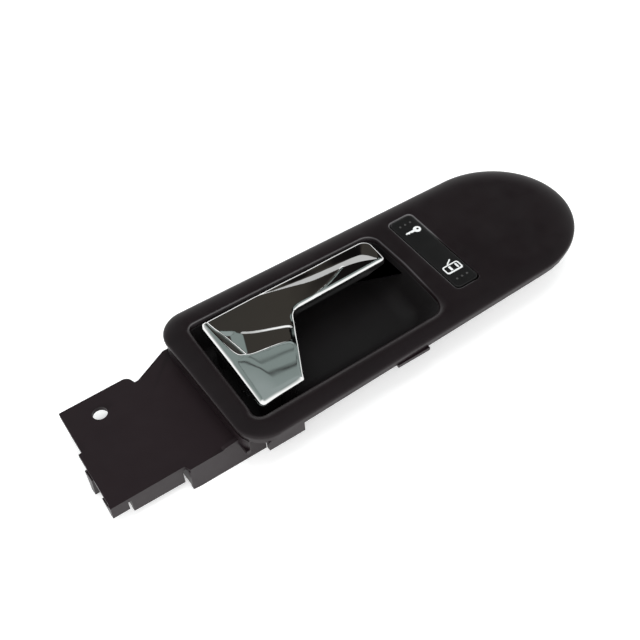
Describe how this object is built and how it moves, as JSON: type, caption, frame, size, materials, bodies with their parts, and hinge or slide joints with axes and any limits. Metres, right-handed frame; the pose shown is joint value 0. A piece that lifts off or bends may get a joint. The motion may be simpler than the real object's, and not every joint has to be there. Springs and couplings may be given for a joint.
{
  "type": "interior car door release handle",
  "caption": "Tongue-shaped black trim plate with finger recess, chrome pull lever, central-locking rocker and a moulded carrier with a screw ear.",
  "frame": {"origin": "middle of the base of the whole unit's box, on the plane it lies on with its face up", "axes": "+Z out of the trim face, +X along the plate towards its round end, +Y towards the side where the lever's arm runs"},
  "size_m": [0.235, 0.076, 0.0266],
  "materials": {
    "plate_black": "near-black moulded plastic with a warm tint, fine grain, satin sheen",
    "carrier_black": "plain moulded black plastic, matte",
    "bowl_black": "near-black moulded plastic, satin",
    "rocker_black": "near-black soft-touch plastic with white printed pictograms",
    "core_black": "glass-filled black plastic, matte",
    "switch_black": "black moulded plastic, matte",
    "chrome": "bright chrome plating, mirror polish",
    "steel": "ground steel",
    "zinc_steel": "zinc-plated steel",
    "brass": "tinned brass, bright",
    "natural_plastic": "natural acetal, satin",
    "rubber": "black rubber, matte",
    "board_green": "green solder mask",
    "lamp_white": "pale lamp body"
  },
  "bodies": {
    "carrier": {"face_plate": "plate_black", "finger_bowl": "bowl_black", "carrier": "carrier_black", "plate_screw_1": "zinc_steel", "plate_screw_2": "zinc_steel", "plate_screw_3": "zinc_steel", "plate_screw_4": "zinc_steel", "plate_screw_5": "zinc_steel", "pivot_pin": "steel", "pivot_bush_1": "natural_plastic", "pivot_bush_2": "natural_plastic", "torsion_spring": "steel", "lever_bumper": "rubber", "rocker_pin": "steel", "switch_housing": "switch_black", "switch_cover": "switch_black", "circuit_board": "board_green", "plunger_spring_door": "steel", "lamp_door": "lamp_white", "plunger_spring_key": "steel", "lamp_key": "lamp_white", "terminal_1": "brass", "terminal_2": "brass", "terminal_3": "brass", "terminal_4": "brass", "switch_screw_1": "zinc_steel", "switch_screw_2": "zinc_steel"},
    "lever": {"chrome_lever": "chrome", "lever_core": "core_black", "lever_screw_1": "zinc_steel", "lever_screw_2": "zinc_steel"},
    "rocker": {"rocker_button": "rocker_black"},
    "plunger_key": {"plunger_key": "natural_plastic"},
    "plunger_door": {"plunger_door": "natural_plastic"}
  },
  "joints": [
    {"name": "lever_hinge", "type": "hinge", "parent": "carrier", "child": "lever", "pos_m": [-0.0435, 0, 0.0185], "axis": [0, -1, 0], "range_deg": [0, 32], "stiffness_Nm_per_rad": 0.25, "springref_deg": -28.65, "deforming": ["torsion_spring"]},
    {"name": "rocker_hinge", "type": "hinge", "parent": "carrier", "child": "rocker", "pos_m": [0.0512, 0.0018, 0.0188], "axis": [1, 0, 0], "range_deg": [-4, 4], "stiffness_Nm_per_rad": 0.15},
    {"name": "plunger_key_slide", "type": "slide", "parent": "carrier", "child": "plunger_key", "axis": [0, 0, 1], "range_m": [-0.0006, 0.0006], "deforming": ["plunger_spring_key"]},
    {"name": "plunger_door_slide", "type": "slide", "parent": "carrier", "child": "plunger_door", "axis": [0, 0, 1], "range_m": [-0.0006, 0.0006], "deforming": ["plunger_spring_door"]}
  ],
  "couplings": [
    {"joint": "plunger_key_slide", "follows": "rocker_hinge", "m_per_rad": 0.008},
    {"joint": "plunger_door_slide", "follows": "rocker_hinge", "m_per_rad": -0.008}
  ]
}
